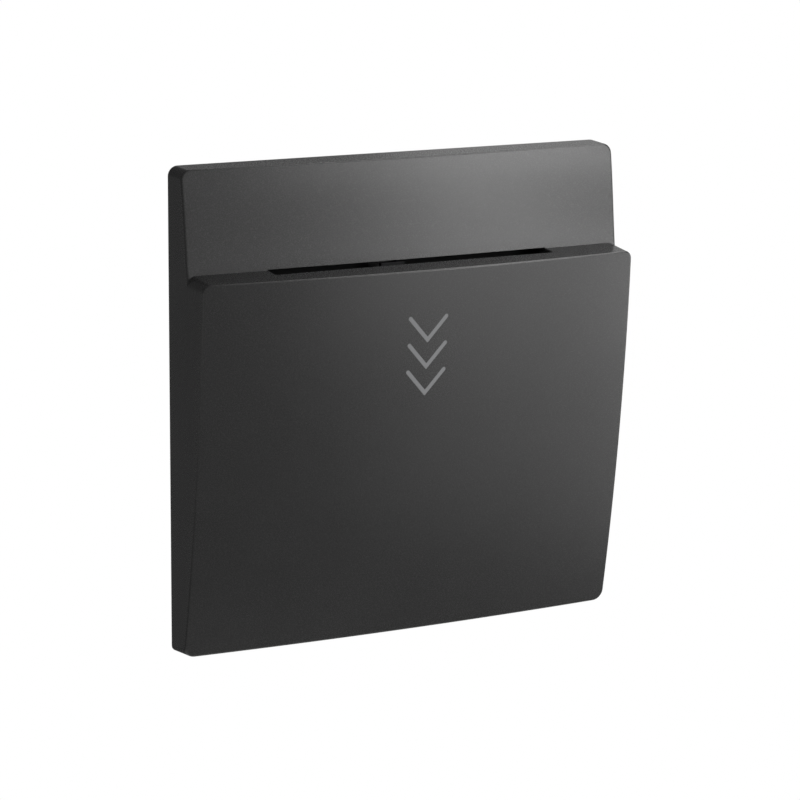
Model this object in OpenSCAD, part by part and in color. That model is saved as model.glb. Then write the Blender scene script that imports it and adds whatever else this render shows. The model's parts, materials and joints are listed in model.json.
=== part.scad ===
// Hotel key card switch: a moulded cover over a card pocket with a lever switch, and a rear housing.
// Inside the modules x runs to the right, y up and z out of the wall, and placed() stands that upright.
// The origin is on the wall, in the middle of the plate. Lengths are in millimetres.

/* [Front cover] */
// Width of the cover
plate_w = 86; // [82:1:96]
// Height of the cover
plate_h = 86; // [84:1:96]
// Radius of the cover's four corners
corner_r = 1.8; // [1.5:0.1:5]
// Thickness of the cover's side walls
side_wall = 1.8; // [1.4:0.1:2.2]
// Thickness of the cover's front walls
front_wall = 2; // [1.6:0.1:2.3]
// Depth of the upper panel at its top edge
top_depth = 5; // [4.6:0.1:6.5]
// Depth of the upper panel at the card slot
panel_depth = 7.3; // [7:0.1:8.5]
// Height of the ledge's back edge above the middle of the plate
ledge_y = 25; // [24:0.5:28]
// Depth of the ledge's front edge at the sides
ledge_depth = 13.1; // [12.8:0.1:16]
// Fall of the ledge from its back edge to its front edge
ledge_drop = 0.9; // [0:0.1:1.5]
// Radius of the two corners at the ends of the ledge
ledge_r = 2.5; // [1:0.1:3.5]
// Depth of the lower face at its bottom edge, at the sides
bottom_depth = 4.75; // [4.5:0.05:7]
// Radius of the domed lower face
face_r = 445; // [400:5:600]
// Gap between the cover's rim and the wall
rim_gap = 0.2; // [0.1:0.1:0.5]
// Diameter of the four pegs inside the cover
peg_d = 3; // [2.4:0.1:3.6]
// Distance of the pegs from the plate's edges
peg_inset = 7.5; // [7:0.1:8.5]

/* [Card pocket] */
// Width of the key card
card_w = 54; // [50:0.5:56]
// Clearance on each side of the card
card_gap = 0.5; // [0.3:0.1:0.8]
// Width of the slot from front to back
slot_gap = 2.8; // [2.4:0.1:3]
// Depth to which a card goes in below the ledge
card_travel = 41; // [38:0.5:42]
// Thickness of the pocket's back plate
guide_t = 2; // [1.8:0.1:2.2]
// Distance of the back plate behind the upper panel's face
guide_set = 0.3; // [0.2:0.1:0.5]
// Width of the rails beside the card
rail_w = 2; // [1.5:0.1:2.5]
// Height of the rails and of the end stop
rail_h = 0.8; // [0.5:0.1:1]
// Thickness of the cover's inner ribs
rib_t = 1.4; // [1:0.1:2]

/* [Chevrons] */
// Number of chevrons
chevron_count = 3; // [1:1:3]
// Width of a chevron between its stroke ends
chevron_w = 7.2; // [6:0.1:8]
// Height of a chevron between its stroke ends and its tip
chevron_h = 4.1; // [3.5:0.1:5]
// Distance from one chevron to the next
chevron_pitch = 4.85; // [4.2:0.05:5]
// Distance of the first chevron below the ledge
chevron_drop = 9.2; // [8.5:0.1:10]
// Width of a chevron's stroke
chevron_stroke = 0.8; // [0.6:0.1:1]
// Thickness of the lens behind the cover
lens_t = 1; // [0.8:0.1:1.2]

/* [Support frame] */
// Thickness of the frame's plate
frame_t = 2; // [1.6:0.1:2.2]
// Thickness of the frame's raised middle
pan_t = 1.4; // [1.2:0.1:1.6]
// Gap between the frame's edge and the cover's walls
frame_gap = 1.2; // [0.8:0.1:1.6]
// Distance between the two fixing holes
fixing_pitch = 60.3; // [60:0.1:62]
// Diameter of the fixing holes
fixing_d = 4.2; // [3.6:0.1:4.8]
// Diameter of the way in to the fixing screws' heads
driver_d = 9; // [8:0.5:10]
// Wall of the sleeves that grip the pegs
grommet_wall = 1; // [0.8:0.1:1.4]

/* [Rear housing] */
// Width and height of the housing
housing_w = 50; // [49:0.5:52]
// Gap between the tallest component and the housing's floor
floor_gap = 1.2; // [0.6:0.1:4]
// Thickness of the housing's walls
housing_wall = 2; // [1.6:0.1:2.2]
// Width of the bosses in the housing's corners
boss_w = 7; // [6:0.1:7.2]
// Diameter of the assembly screws
screw_d = 2.5; // [2:0.1:3]
// Length of the assembly screws below their heads
screw_len = 13; // [11:0.5:16]

/* [Lever] */
// Width of the card lever
lever_w = 4.6; // [4:0.1:5]
// Place of the lever's middle, to the right of the plate's middle
lever_x = -3.2; // [-4:0.1:-2.8]
// Thickness of the lever's arm
lever_t = 2.4; // [2:0.1:2.6]
// Height of the hinge above the end of the card's travel
pivot_rise = 10; // [9.5:0.1:10.5]
// Distance of the hinge behind the pocket's back plate
pivot_set = 1.4; // [1.2:0.1:1.6]
// Diameter of the hinge pin
pin_d = 2; // [1.6:0.1:2.2]
// Gap between the lever's tail and the circuit board
tail_gap = 1.8; // [1.4:0.1:2.8]
// Diameter of the spring's wire
wire_d = 0.5; // [0.4:0.05:0.6]
// Outer diameter of the spring
spring_d = 4.4; // [4:0.1:5]
// Length of the spring at rest
spring_len = 6.4; // [6:0.1:7]
// Number of turns of the spring
spring_turns = 5; // [4:0.5:5]

/* [Electrics] */
// Depth of the circuit board's front behind the wall
board_depth = 8.2; // [8:0.1:9]
// Thickness of the circuit board
board_t = 1.6; // [1.2:0.1:2]
// Length, width and height of the microswitch
switch_size = [12.8, 5.8, 6.5]; // [5:0.1:14]
// Distance of the switch button above the lever's hinge
push_arm = 8; // [7.5:0.1:8.5]
// Diameter of the switch button
button_d = 2; // [1.6:0.1:2.4]
// Height of the button above the switch
button_out = 1.2; // [1.15:0.05:1.5]
// Width, height and depth of the relay
relay_size = [12, 14, 15]; // [10:0.5:18]
// Width, height and depth of the film capacitor
film_size = [10, 4.5, 11]; // [4:0.5:14]
// Diameter of the electrolytic capacitor
can_d = 7; // [5:0.5:8]
// Height of the electrolytic capacitor
can_h = 11; // [8:0.5:14]
// Width, height and thickness of the controller chip
chip_size = [4.9, 3.9, 1.5]; // [1:0.1:6]
// Width, height and thickness of the indicator light
led_size = [3.2, 2.8, 1.5]; // [1:0.1:4]
// Diameter of the light pipe
pipe_d = 4; // [3:0.1:4.6]
// Diameter of the component leads
lead_d = 0.8; // [0.6:0.1:1]
// Distance between the wire terminals
pole_pitch = 10; // [9.5:0.1:10.5]
// Diameter of the wire bores
wire_bore_d = 3.6; // [3:0.1:4]
// Width, height and depth of a brass clamp
clamp_size = [7, 8.4, 9]; // [6:0.1:10]
// Diameter of the clamp screws
clamp_screw_d = 3; // [2.6:0.1:3.4]

/* [Hidden] */

$fn = 48;
dome_fn = 240;
over = 1;           // how far a cut runs past what it cuts
fuse = 0.4;         // how far a feature runs into the wall that carries it
fit = 0.03;         // clearance of a piece that is held still in its seat
slide_fit = 0.05;   // radial clearance of a piece that slides or turns in a bore
air = 0.5;          // clearance beside a moving piece

// Cover
half_w = plate_w / 2;
half_h = plate_h / 2;
ledge_slope = ledge_drop / (ledge_depth - panel_depth);
crown = half_w * half_w / (2 * face_r);
dome_top = [ledge_y - ledge_drop, ledge_depth + crown];
dome_low = [-half_h, bottom_depth + crown];
dome_span = dome_top - dome_low;
dome_out = [-dome_span[1], dome_span[0]] / norm(dome_span);
dome_sink = sqrt(face_r * face_r - dome_span * dome_span / 4);
dome_centre = (dome_top + dome_low) / 2 - dome_out * dome_sink;
beyond = ledge_depth + crown + 2 * over;
least_r = 0.5;      // smallest radius inside the cover
peg_x = half_w - peg_inset;
peg_y = half_h - peg_inset;
peg_start = 0.4;    // distance of the pegs' ends from the wall

// Card pocket
slot_half = card_w / 2 + card_gap;
slot_front = panel_depth + slot_gap;
guide_front = panel_depth - guide_set;
guide_back = guide_front - guide_t;
guide_top = ledge_y - front_wall - air;
guide_half = slot_half + rail_w;
edge_lift = 0.1;    // height of the panel's free edge above the ledge
panel_edge = ledge_y + edge_lift;
stop_y = ledge_y - card_travel;
rib_x = [9.5, 20];  // places of the ribs on both sides of the middle
rib_rise = 6;       // height of the ribs above the end of the card's travel
rib_low = stop_y + rib_rise;

// Lens and chevrons
chevron_top = ledge_y - chevron_drop;
chevrons_low = chevron_top - (chevron_count - 1) * chevron_pitch - chevron_h;
chevrons_mid = (chevron_top + chevrons_low) / 2;
lens_margin = 1.4;
lens_half_w = chevron_w / 2 + lens_margin;
lens_half_h = (chevron_top - chevrons_low) / 2 + lens_margin;
lens_tilt = asin((dome_centre[0] - chevrons_mid) / (face_r - front_wall));
lens_gap = 0.3;     // least gap between the lens and the cover's front wall
stroke_set = 0.15;  // depth of the strokes' fronts below the cover's face
lens_sag = (lens_half_w * lens_half_w + lens_half_h * lens_half_h) / (2 * (face_r - front_wall)) + lens_gap;
stroke_front = front_wall + lens_sag - stroke_set;

// Frame
frame_half_w = half_w - side_wall - frame_gap;
frame_half_h = half_h - side_wall - frame_gap;
pan_front = frame_t + pan_t;
pan_rim = 1.6;
grommet_r = peg_d / 2 + slide_fit + grommet_wall;
grommet_lip = 0.6;

// Housing, whose bosses stand beside the terminal block and below the top of the card pocket
housing_half = housing_w / 2;
inner_half = housing_half - housing_wall;
pole_count = 3;
block_w = pole_count * pole_pitch;
boss_gap = 1;       // gap between the terminal block and the bosses
screw_edge = 3;     // distance of the upper screws below the top of the pocket's back plate
screw_x = block_w / 2 + boss_gap + boss_w / 2;
screw_y = guide_top - screw_edge;
window_x = screw_x - boss_w / 2;
window_y = screw_y - boss_w / 2;
screw_places = [for (x = [-screw_x, screw_x], y = [-screw_y, screw_y]) [x, y]];
head_over = 0.9;    // how far a screw's head stands out past its shaft
head_h = 1.6;
head_sink = 0.2;    // depth of a screw's head below the card's path
head_r = screw_d / 2 + head_over;
head_z = guide_front - head_h - head_sink;

// Lever, hinge and spring
lever_l = lever_x - lever_w / 2;
lever_r = lever_x + lever_w / 2;
lever_set = 0.2;    // how far the lever's arm lies behind the pocket's back plate
pivot_y = stop_y + pivot_rise;
pivot_z = guide_back - pivot_set;
hub_wall = 1.4;
hub_r = pin_d / 2 + hub_wall;
lever_front = guide_front - lever_set;
lever_back = lever_front - lever_t;
lever_top = guide_top - lever_set;
nose_gap = 0.3;     // gap between the lever's nose and the front of the card's path
nose_z = slot_front - nose_gap;
nose_ramp = 6.3;
nose_flat = 3;
nose_under = 2.5;
finger_t = 0.8;     // thickness of the finger that stands in the slot's mouth
finger_out = 0.1;   // how far the finger's front lies before the upper panel's edge
finger_front = panel_depth + finger_out;
finger_back = finger_front - finger_t;
finger_top = panel_edge - air;
ear_t = 2;
ear_l = lever_l - air - ear_t;
ear_r = lever_r + air + ear_t;
ear_r_out = hub_r + lever_set;
tail_half = 1.4;
tail_end = tail_gap - board_depth;
spring_z = tail_end + spring_d / 2;
spring_r = (spring_d - wire_d) / 2;
spring_gap = 0.1;   // gap at each end of the spring
seat_y = pivot_y - tail_half - spring_len;
seat_t = 1.8;
seat_rim = 0.8;
seat_half = spring_d / 2 + seat_rim;
seat_peg_gap = 0.3;
seat_peg_h = 2.1;
spring_rings = 8;
spring_sides = 6;

// Outline of the lever's arm in (y, z), with the nose across the card's path and the finger above it
nose_high = lever_top - nose_ramp;
nose_low = nose_high - nose_flat;
lever_outline = [
    [pivot_y, lever_back], [pivot_y, lever_front], [nose_low - nose_under, lever_front],
    [nose_low, nose_z], [nose_high, nose_z], [lever_top, finger_front], [finger_top, finger_front],
    [finger_top, finger_back], [lever_top, finger_back], [lever_top, lever_back]
];

// Rings of the spring's wire, wound round an axis along y
spring_low = seat_y + spring_gap + wire_d / 2;
spring_rise = spring_len - 2 * spring_gap - wire_d;
spring_count = spring_turns * spring_rings;
spring_line = [for (i = [0:spring_count]) let (a = 360 * i / spring_rings)
    [lever_x + spring_r * cos(a), spring_low + spring_rise * i / spring_count, spring_z + spring_r * sin(a)]];
spring_points = [for (i = [0:spring_count], k = [0:spring_sides - 1])
    let (a = 360 * i / spring_rings, b = 360 * k / spring_sides, out = wire_d / 2 * cos(b))
    spring_line[i] + [out * cos(a), wire_d / 2 * sin(b), out * sin(a)]];
spring_faces = concat(
    [[for (k = [0:spring_sides - 1]) k]],
    [for (i = [0:spring_count - 1], k = [0:spring_sides - 1], h = [0, 1])
        let (p = i * spring_sides + k, q = i * spring_sides + (k + 1) % spring_sides)
        h == 0 ? [p, p + spring_sides, q] : [q, p + spring_sides, q + spring_sides]],
    [[for (k = [spring_sides - 1:-1:0]) spring_count * spring_sides + k]]
);
spring_least_gap = min([for (i = [0:spring_count - 1], j = [i + 1:spring_count])
    if (j - i >= spring_rings / 2) norm(spring_line[i] - spring_line[j]) - wire_d]);
echo(spring_least_gap = spring_least_gap);

// Circuit board and its parts, placed from the lever and from each other
part_gap = 1.8;     // least gap between two parts on the board
board_front = -board_depth;
board_back = board_front - board_t;
board_gap = 1.2;    // gap between the board's edges and the housing
board_half = inner_half - board_gap;
push_y = pivot_y + push_arm;
push_r = 1.1;
push_gap = 0.1;     // gap between the lever and the switch button at rest
switch_top = board_front + switch_size[2];
button_top = switch_top + button_out;
button_len = 4;
button_bore = 5;
push_z = button_top + push_gap + push_r;
post_h = 8;
post_edge = 2.3;    // distance of the board's screws from its edges
post_x = board_half - post_edge;
board_screw_d = 2;
board_screw_len = 6;
board_head_h = 1.2;
collar_wall = 1.2;
collar_len = 4;
collar_web = 1.7;   // wall between the lever's slot and the light pipe's collar
pipe_gap = 0.1;     // gap at each end of the light pipe
pipe_at = [lever_r + air + collar_web + collar_wall + pipe_d / 2, chevrons_mid];
led_front = board_front + led_size[2];
relay_at = [part_gap + relay_size[0] / 2 - window_x, push_y + lead_d + part_gap + relay_size[1] / 2];
can_at = [lever_x + switch_size[0] / 2 + part_gap + can_d / 2, push_y];
film_at = [pipe_at[0] + led_size[0] / 2 + part_gap + film_size[0] / 2,
           can_at[1] + can_d / 2 + part_gap + film_size[1] / 2];
chip_at = [can_at[0], pivot_y];
deepest = max(relay_size[2], film_size[2], can_h);
housing_depth = board_depth + board_t + deepest + floor_gap + housing_wall;
housing_floor = housing_wall - housing_depth;

// Wire terminals
block_wall = 1.3;
block_gap = 0.5;    // gap between the terminal block and the housing's wall
block_h = clamp_size[1] + 2 * block_wall;
block_low = block_gap - inner_half;
clamp_set = 3;      // depth of the clamps inside the block
clamp_rim = 1.2;    // brass beside the wire bore
clamp_y = block_low + block_h / 2;
clamp_z = clamp_set - housing_depth;
clamp_top = clamp_z + clamp_size[2];
wire_y = clamp_y + clamp_size[1] / 2 - wire_bore_d / 2 - clamp_rim;
clamp_screw_z = clamp_z + clamp_size[2] / 2;
clamp_screw_gap = 0.3;
clamp_screw_low = over - housing_half;
clamp_screw_top = wire_y - wire_bore_d / 2 - clamp_screw_gap;
slot_cut = 0.6;     // width of the slots in the screws
cross_gap = 0.6;    // metal left beyond the ends of a cross slot

// Every through-board lead as [x, y, lowest z, highest z]
lead_r = lead_d / 2;
lead_fn = 24;
lead_out = 1.2;     // how far a lead stands out of the board
lead_inset = 1.2;   // distance of a lead from the edge of its part
switch_lead_pitch = 5.1;
can_lead_pitch = 2.5;
pole_lead_y = clamp_y - clamp_size[1] / 2 + lead_inset;
lead_tip = board_front + lead_out;
relay_half = [relay_size[0] / 2 - lead_inset, relay_size[1] / 2 - lead_inset];
film_half = film_size[0] / 2 - lead_inset;
leads = concat(
    [for (i = [-1:1]) [lever_x + i * switch_lead_pitch, push_y, board_back - lead_out, board_front]],
    [for (p = [[-1, -1], [-1, 1], [1, 1], [0, 1]])
        [relay_at[0] + p[0] * relay_half[0], relay_at[1] + p[1] * relay_half[1], board_back, lead_tip]],
    [for (i = [-1, 1]) [film_at[0] + i * film_half, film_at[1], board_back, lead_tip]],
    [for (i = [-1, 1]) [can_at[0] + i * can_lead_pitch / 2, can_at[1], board_back, lead_tip]],
    [for (i = [0:pole_count - 1]) [pole_x(i), pole_lead_y, clamp_top, lead_tip]]
);

function pole_x(i) = (i - (pole_count - 1) / 2) * pole_pitch;
function panel_z(y) = top_depth + (panel_depth - top_depth) * (half_h - y) / (half_h - ledge_y);

module placed() {
    rotate([90, 0, 0]) children();
}

// Extrudes a shape drawn in (y, z) from x0 to x1
module across(x0, x1) {
    translate([x0, 0, 0]) rotate([90, 0, 90]) linear_extrude(x1 - x0) children();
}

// A slab from x0 to x1, y0 to y1 and z0 to z1
module slab(x0, x1, y0, y1, z0, z1) {
    translate([x0, y0, z0]) cube([x1 - x0, y1 - y0, z1 - z0]);
}

// A box of the given size, centred on a point of the board and standing on height z
module component(at, size, z) {
    translate([at[0] - size[0] / 2, at[1] - size[1] / 2, z]) cube(size);
}

// A plate with two radii on its lower corners and two on its upper corners
module rounded_plate(half, y0, y1, r_low, r_high, z0, z1) {
    translate([0, 0, z0]) linear_extrude(z1 - z0) {
        polygon([
            [-half + r_low, y0], [half - r_low, y0], [half, y0 + r_low], [half, y1 - r_high],
            [half - r_high, y1], [-half + r_high, y1], [-half, y1 - r_high], [-half, y0 + r_low]
        ]);
        for (s = [-1, 1]) {
            translate([s * (half - r_low), y0 + r_low]) circle(r_low);
            translate([s * (half - r_high), y1 - r_high]) circle(r_high);
        }
    }
}

module dome(sink) {
    translate([0, dome_centre[0], dome_centre[1]]) sphere(face_r - sink, $fn = dome_fn);
}

// The cover's outer form, with its sides and fronts set in and its back at z0
module cover_form(side, front, z0) {
    half = half_w - side;
    low = -half_h + side;
    top = half_h - side;
    ledge = ledge_y - front;
    panel_low = ledge_y - 2 * ledge_r;
    intersection() {
        rounded_plate(half, low, top, corner_r - side / 2, corner_r - side / 2, z0, beyond);
        across(-half_w, half_w) polygon([
            [panel_low, z0], [top, z0], [top, panel_z(top) - front],
            [ledge_y, panel_depth - front], [panel_low, panel_depth - front]
        ]);
    }
    intersection() {
        rounded_plate(half, low, ledge, corner_r - side / 2, max(ledge_r - front, least_r), z0, beyond);
        across(-half_w, half_w) polygon([
            [low, z0], [ledge, z0], [ledge, panel_depth],
            [ledge - ledge_slope * (beyond - panel_depth), beyond], [low, beyond]
        ]);
        dome(front);
    }
}

// All chevrons with a stroke of width w, set in at the stroke ends, from z0 to z1
module chevrons(w, inset, z0, z1) {
    half = chevron_w / 2;
    long = norm([half, chevron_h]);
    side = [chevron_h, -half] * w / (2 * long);
    end = [half, chevron_h] * (1 - inset / long);
    tip = [0, w * long / (2 * half)];
    points = [tip, end - side, end + side, -tip];
    for (i = [0:chevron_count - 1])
        translate([0, chevron_top - chevron_h - i * chevron_pitch, z0]) linear_extrude(z1 - z0)
            polygon(concat(points, [for (k = [2, 1]) [-points[k][0], points[k][1]]]));
}

module cover_pegs() {
    for (x = [-peg_x, peg_x], y = [-peg_y, peg_y])
        translate([x, y, peg_start]) cylinder(d = peg_d, h = beyond);
}

module cover_ribs() {
    for (x = rib_x, s = [-1, 1])
        slab(s * x - rib_t / 2, s * x + rib_t / 2, rib_low, ledge_y, slot_front, beyond);
}

module front_cover() {
    color("#2b2b2d") placed() difference() {
        union() {
            difference() {
                cover_form(0, 0, rim_gap);
                cover_form(side_wall, front_wall, -over);
            }
            intersection() {
                cover_form(side_wall / 2, front_wall / 2, rim_gap);
                union() {
                    cover_pegs();
                    cover_ribs();
                }
            }
        }
        slab(-slot_half, slot_half, guide_top, panel_edge, panel_depth - front_wall - over, slot_front);
        chevrons(chevron_stroke, 0, slot_front, beyond);
    }
}

// A frame on the dome's radius through the lens's middle, with z = 0 on the lens's front
module on_lens() {
    translate([0, dome_centre[0], dome_centre[1]]) rotate([lens_tilt, 0, 0])
        translate([0, 0, face_r - front_wall - lens_sag]) children();
}

// Light-coloured plate behind the cover, with strokes that fill its chevron-shaped cuts
module chevron_lens() {
    color("#7d7f82") placed() {
        on_lens() slab(-lens_half_w, lens_half_w, -lens_half_h, lens_half_h, -lens_t, 0);
        intersection() {
            chevrons(chevron_stroke - 2 * fit, fit, slot_front, beyond);
            on_lens() slab(-lens_half_w, lens_half_w, -lens_half_h, lens_half_h, -lens_t / 2, stroke_front);
        }
    }
}

module support_frame() {
    recess = housing_half + fit;
    pan = recess + pan_rim;
    color("#2a2b2e") placed() difference() {
        union() {
            rounded_plate(frame_half_w, -frame_half_h, frame_half_h, corner_r, corner_r, 0, frame_t);
            rounded_plate(pan, -pan, pan, corner_r, corner_r, 0, pan_front);
        }
        slab(-recess, recess, -recess, recess, -over, frame_t);
        slab(-window_x, window_x, -window_y, window_y, 0, pan_front + over);
        slab(lever_l - air, lever_r + air, 0, finger_top + air + lever_set, 0, pan_front + over);
        slab(lever_x - seat_half - air, lever_x + seat_half + air,
             seat_y - seat_t - air, 0, 0, pan_front + over);
        for (s = [-1, 1])
            translate([s * fixing_pitch / 2, 0, -over]) cylinder(d = fixing_d, h = pan_front + 2 * over);
        for (p = screw_places)
            translate([p[0], p[1], 0]) cylinder(d = screw_d + 2 * slide_fit, h = pan_front + over);
        for (x = [-peg_x, peg_x], y = [-peg_y, peg_y])
            translate([x, y, -over]) cylinder(r = grommet_r + fit, h = frame_t + 2 * over);
    }
}

module cover_grommets() {
    color("#8a5a2b") placed() for (x = [-peg_x, peg_x], y = [-peg_y, peg_y])
        translate([x, y, 0]) difference() {
            union() {
                cylinder(r = grommet_r, h = frame_t);
                translate([0, 0, frame_t]) cylinder(r = grommet_r + grommet_lip, h = grommet_lip);
            }
            translate([0, 0, -over])
                cylinder(d = peg_d + 2 * slide_fit, h = frame_t + grommet_lip + 2 * over);
        }
}

module guide_plate() {
    low = -screw_y - head_r - over;
    wide = screw_x + boss_w / 2;
    slab(-guide_half, guide_half, stop_y - rail_w, guide_top, guide_back, guide_front);
    slab(-wide, wide, low, stop_y, guide_back, guide_front);
    slab(-guide_half, guide_half, stop_y - rail_w, stop_y, guide_back, guide_front + rail_h);
    for (s = [-1, 1])
        slab(s > 0 ? slot_half : -guide_half, s > 0 ? guide_half : -slot_half,
             stop_y - rail_w, guide_top, guide_back, guide_front + rail_h);
    difference() {
        slab(-wide, wide, low, guide_top, pan_front, guide_back + fuse);
        slab(-window_x, window_x, -window_y, window_y, 0, guide_back);
    }
}

module hinge_ears() {
    for (x = [ear_l, ear_r - ear_t]) across(x, x + ear_t) {
        translate([pivot_y, pivot_z]) circle(ear_r_out);
        translate([pivot_y - ear_r_out, pivot_z]) square([2 * ear_r_out, guide_back + fuse - pivot_z]);
    }
}

// Shelf under the lever's tail, with a peg that keeps the spring in place
module spring_seat() {
    slab(lever_x - seat_half, lever_x + seat_half, seat_y - seat_t, seat_y,
         spring_z - seat_half, guide_back + fuse);
    translate([lever_x, seat_y - fuse, spring_z]) rotate([-90, 0, 0])
        cylinder(r = spring_r - wire_d / 2 - seat_peg_gap, h = fuse + seat_peg_h);
}

module card_guide() {
    color("#3a3b3d") placed() difference() {
        union() {
            guide_plate();
            hinge_ears();
            spring_seat();
            translate([pipe_at[0], pipe_at[1], guide_back - collar_len])
                cylinder(d = pipe_d + 2 * collar_wall, h = collar_len + fuse);
        }
        slab(lever_l - air, lever_r + air, pivot_y - hub_r - air, ledge_y, 0, beyond);
        across(ear_l - over, ear_r + over) translate([pivot_y, pivot_z]) circle(d = pin_d + 2 * fit);
        translate([pipe_at[0], pipe_at[1], 0]) cylinder(d = pipe_d + 2 * fit, h = beyond);
        for (p = screw_places) translate([p[0], p[1], 0]) {
            cylinder(d = screw_d + 2 * slide_fit, h = beyond);
            translate([0, 0, head_z]) cylinder(r = head_r + slide_fit, h = beyond);
        }
        for (s = [-1, 1]) translate([s * fixing_pitch / 2, 0, 0]) cylinder(d = driver_d, h = beyond);
    }
}

// A cross-slotted screw whose head's underside is at z = 0, pointing along -z
module screw(d, len, r, h) {
    reach = r - cross_gap;
    difference() {
        union() {
            translate([0, 0, -len]) cylinder(d = d, h = len);
            cylinder(r = r, h = h);
        }
        slab(-reach, reach, -slot_cut / 2, slot_cut / 2, h / 2, h + over);
        slab(-slot_cut / 2, slot_cut / 2, -reach, reach, h / 2, h + over);
    }
}

module assembly_screws() {
    color("#a9adb0") placed() for (p = screw_places)
        translate([p[0], p[1], head_z]) screw(screw_d, screw_len, head_r, head_h);
}

// A post on one side of the housing, from x0 to the wall, from y0 to y1 and up to z1
module housing_post(side, x0, y0, y1, z1) {
    slab(side > 0 ? x0 : -inner_half - fuse, side > 0 ? inner_half + fuse : -x0,
         y0, y1, housing_floor - fuse, z1);
}

module rear_housing() {
    block_half = block_w / 2 + fit;
    color("#2d2e30") placed() difference() {
        union() {
            difference() {
                slab(-housing_half, housing_half, -housing_half, housing_half, -housing_depth, frame_t);
                slab(-inner_half, inner_half, -inner_half, inner_half, housing_floor, frame_t + over);
            }
            for (side = [-1, 1]) {
                housing_post(side, window_x, window_y, inner_half + fuse, frame_t);
                housing_post(side, window_x, -inner_half - fuse, -window_y, frame_t);
                housing_post(side, post_x - boss_w / 2, -post_h / 2, post_h / 2, board_back);
            }
        }
        for (p = screw_places)
            translate([p[0], p[1], head_z - screw_len - over]) cylinder(d = screw_d + 2 * fit, h = screw_len);
        for (x = [-post_x, post_x])
            translate([x, 0, board_front - board_screw_len - over])
                cylinder(d = board_screw_d + 2 * fit, h = board_screw_len);
        slab(-block_half, block_half, block_low - fit, block_low + block_h + fit, -housing_depth - over, 0);
        for (i = [0:pole_count - 1])
            translate([pole_x(i), -housing_half - over, clamp_screw_z]) rotate([-90, 0, 0])
                cylinder(d = clamp_screw_d + 2 * air, h = housing_wall + 2 * over);
    }
}

module card_lever() {
    color("#2a2a2c") placed() difference() {
        union() {
            across(lever_l, lever_r) translate([pivot_y, pivot_z]) circle(hub_r);
            across(lever_l, lever_r) polygon(lever_outline);
            across(lever_l, lever_r) translate([push_y, push_z]) circle(push_r);
            slab(lever_l, lever_r, push_y - push_r, push_y + push_r, push_z, lever_back + fuse);
            slab(lever_l, lever_r, pivot_y - tail_half, pivot_y + tail_half, tail_end, pivot_z);
        }
        across(lever_l - over, lever_r + over)
            translate([pivot_y, pivot_z]) circle(d = pin_d + 2 * slide_fit);
    }
}

module lever_pin() {
    color("#c9ccce") placed() across(ear_l, ear_r) translate([pivot_y, pivot_z]) circle(d = pin_d);
}

module lever_spring() {
    color("#b9bdc1") placed() polyhedron(spring_points, spring_faces);
}

module microswitch_body() {
    color("#1f3a5f") placed() difference() {
        component([lever_x, push_y], switch_size, board_front);
        translate([lever_x, push_y, switch_top - button_bore])
            cylinder(d = button_d + 2 * slide_fit, h = button_bore + over);
    }
}

module switch_plunger() {
    color("#c0392b") placed() translate([lever_x, push_y, button_top - button_len])
        cylinder(d = button_d, h = button_len);
}

module circuit_board() {
    notch_x = window_x - air;
    notch_y = window_y - air;
    color("#1f6b3a") placed() difference() {
        slab(-board_half, board_half, -board_half, board_half, board_back, board_front);
        for (x = [notch_x, -notch_x - inner_half], y = [notch_y, -notch_y - inner_half])
            translate([x, y, board_back - over]) cube([inner_half, inner_half, board_t + 2 * over]);
        for (x = [-post_x, post_x])
            translate([x, 0, board_back - over])
                cylinder(d = board_screw_d + 2 * slide_fit, h = board_t + 2 * over);
        for (p = leads)
            translate([p[0], p[1], board_back - over])
                cylinder(r = lead_r + fit, h = board_t + 2 * over, $fn = lead_fn);
    }
}

module board_screws() {
    color("#a9adb0") placed() for (x = [-post_x, post_x])
        translate([x, 0, board_front])
            screw(board_screw_d, board_screw_len, board_screw_d / 2 + head_over, board_head_h);
}

module component_leads() {
    color("#cfd2d4") placed() for (p = leads)
        translate([p[0], p[1], p[2]]) cylinder(r = lead_r, h = p[3] - p[2], $fn = lead_fn);
}

module relay() {
    color("#2d2f33") placed() component(relay_at, relay_size, board_back - relay_size[2]);
}

module film_capacitor() {
    color("#b8432f") placed() component(film_at, film_size, board_back - film_size[2]);
}

module electrolytic_capacitor() {
    color("#2b3d6b") placed() translate([can_at[0], can_at[1], board_back - can_h])
        cylinder(d = can_d, h = can_h);
}

module controller_chip() {
    color("#222326") placed() component(chip_at, chip_size, board_front);
}

module indicator_led() {
    color("#f2f0e6") placed() component(pipe_at, led_size, board_front);
}

module light_pipe() {
    color("#dfe8ec") placed() translate([pipe_at[0], pipe_at[1], led_front + pipe_gap])
        cylinder(d = pipe_d, h = guide_front - pipe_gap - led_front - pipe_gap);
}

module terminal_block() {
    pocket = [clamp_size[0] + 2 * fit, clamp_size[1] + 2 * fit, clamp_size[2] + clamp_set + fit + over];
    color("#f0efe9") placed() difference() {
        slab(-block_w / 2, block_w / 2, block_low, block_low + block_h, -housing_depth, board_back);
        for (i = [0:pole_count - 1]) translate([pole_x(i), 0, 0]) {
            component([0, clamp_y], pocket, -housing_depth - over);
            translate([0, pole_lead_y, clamp_z])
                cylinder(r = lead_r + fit, h = board_front - clamp_z, $fn = lead_fn);
            translate([0, block_low - over, clamp_screw_z]) rotate([-90, 0, 0])
                cylinder(d = clamp_screw_d + 2 * slide_fit, h = block_wall + 2 * over);
        }
    }
}

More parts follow.
